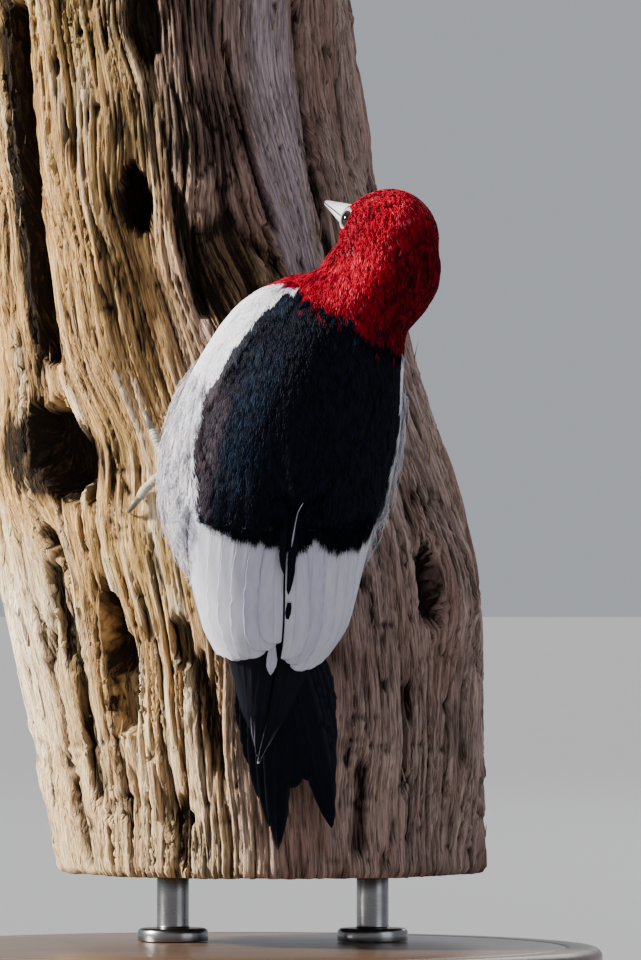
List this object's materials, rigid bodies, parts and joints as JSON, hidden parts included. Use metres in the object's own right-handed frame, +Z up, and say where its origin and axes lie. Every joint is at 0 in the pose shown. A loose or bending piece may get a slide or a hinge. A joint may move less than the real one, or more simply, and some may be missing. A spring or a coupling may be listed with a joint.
{
  "type": "red-headed woodpecker model",
  "caption": "Life-size model of a red-headed woodpecker clinging to a cut length of dead trunk, tail propped on the bark, head turned, on a round display stand.",
  "frame": {"origin": "middle of the underside of the round base", "axes": "+Z up, along the trunk; the bird is on the -Y side of the trunk and faces it, its right is towards +X"},
  "size_m": [0.2234, 0.224, 0.308],
  "materials": {
    "red_feathers": "deep crimson feathers with a silky sheen",
    "white_feathers": "soft white feathers with a cool shade",
    "black_feathers": "glossy blue-black feathers; the inner flight feathers are white",
    "bill_horn": "pale grey horn",
    "claw_horn": "pale horn, darker at the tips",
    "eye_surface": "wet dark brown",
    "leg_scales": "pale grey-olive scales",
    "trunk_wood": "weathered dead wood, bare and furrowed",
    "base_wood": "dark oiled wood",
    "rod_steel": "brushed"
  },
  "bodies": {
    "root": {"head": "red_feathers", "neck": "red_feathers", "torso": "white_feathers", "mantle": "black_feathers", "tail": "black_feathers", "wing_left": "black_feathers", "wing_right": "black_feathers", "secondaries_left": "white_feathers", "secondaries_right": "white_feathers", "bill_upper": "bill_horn", "bill_lower": "bill_horn", "eye_left": "eye_surface", "eye_right": "eye_surface", "leg_left": "leg_scales", "leg_right": "leg_scales", "claw_left_1": "claw_horn", "claw_left_2": "claw_horn", "claw_left_3": "claw_horn", "claw_left_4": "claw_horn", "claw_right_1": "claw_horn", "claw_right_2": "claw_horn", "claw_right_3": "claw_horn", "claw_right_4": "claw_horn", "perch_trunk": "trunk_wood", "stand_base": "base_wood", "stand_rod_left": "rod_steel", "stand_rod_right": "rod_steel"}
  },
  "joints": []
}
